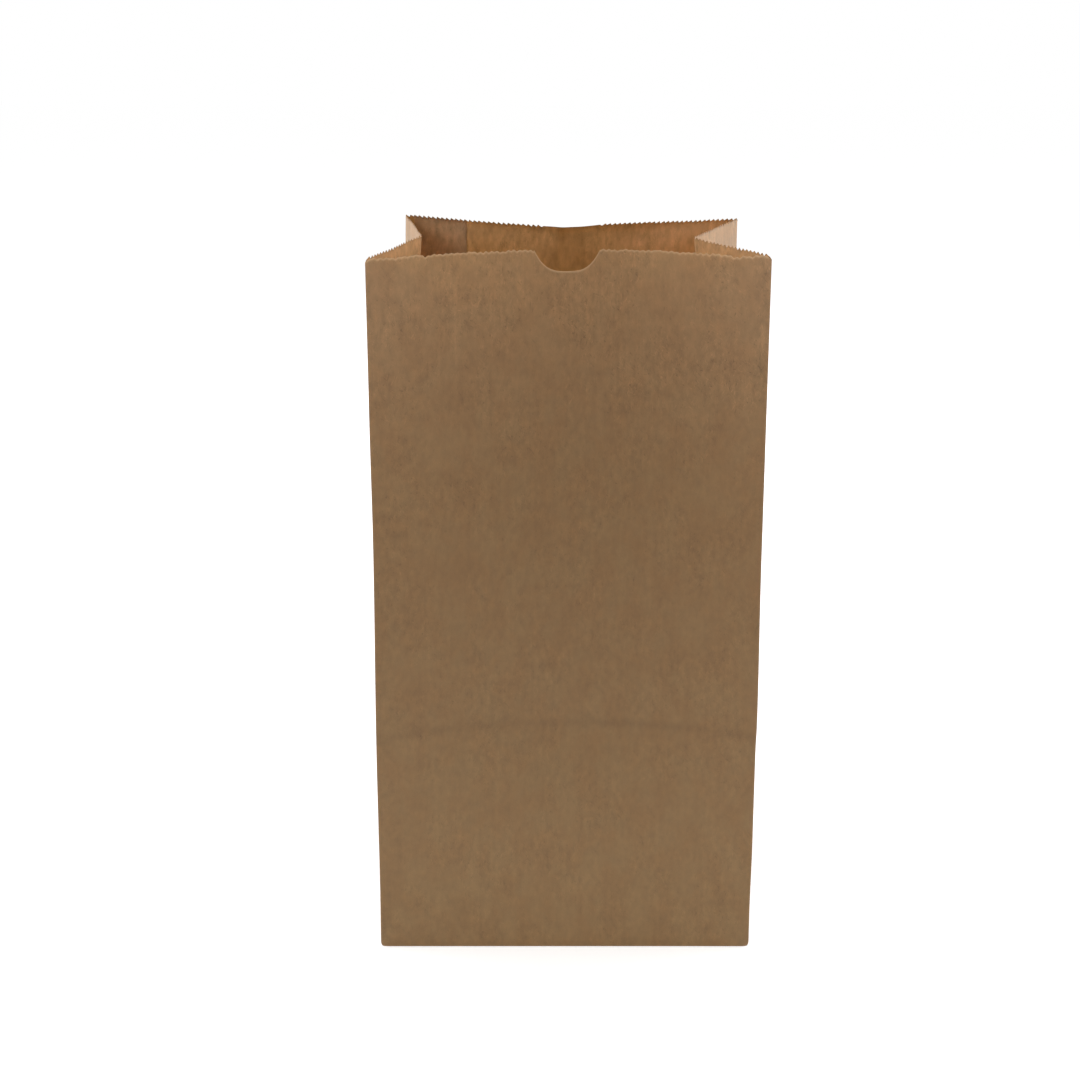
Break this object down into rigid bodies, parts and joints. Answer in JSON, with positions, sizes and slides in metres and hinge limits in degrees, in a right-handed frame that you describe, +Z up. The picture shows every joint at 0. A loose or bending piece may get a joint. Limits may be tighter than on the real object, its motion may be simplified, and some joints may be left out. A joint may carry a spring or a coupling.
{
  "type": "paper lunch bag",
  "caption": "Plain brown kraft paper bag standing open, with a saw-toothed mouth, a thumb notch in front, side gussets folded inwards and a flat pasted base.",
  "frame": {"origin": "middle of the base's rectangle, on the plane that the bag stands on", "axes": "+Z up through the mouth, -Y towards the front panel with the thumb notch, +X to the right of someone who looks at the front"},
  "size_m": [0.15, 0.0956, 0.281],
  "materials": {
    "kraft_paper": "matt unbleached machine-finished kraft"
  },
  "bodies": {
    "root": {"paper_bag": "kraft_paper"}
  },
  "joints": []
}
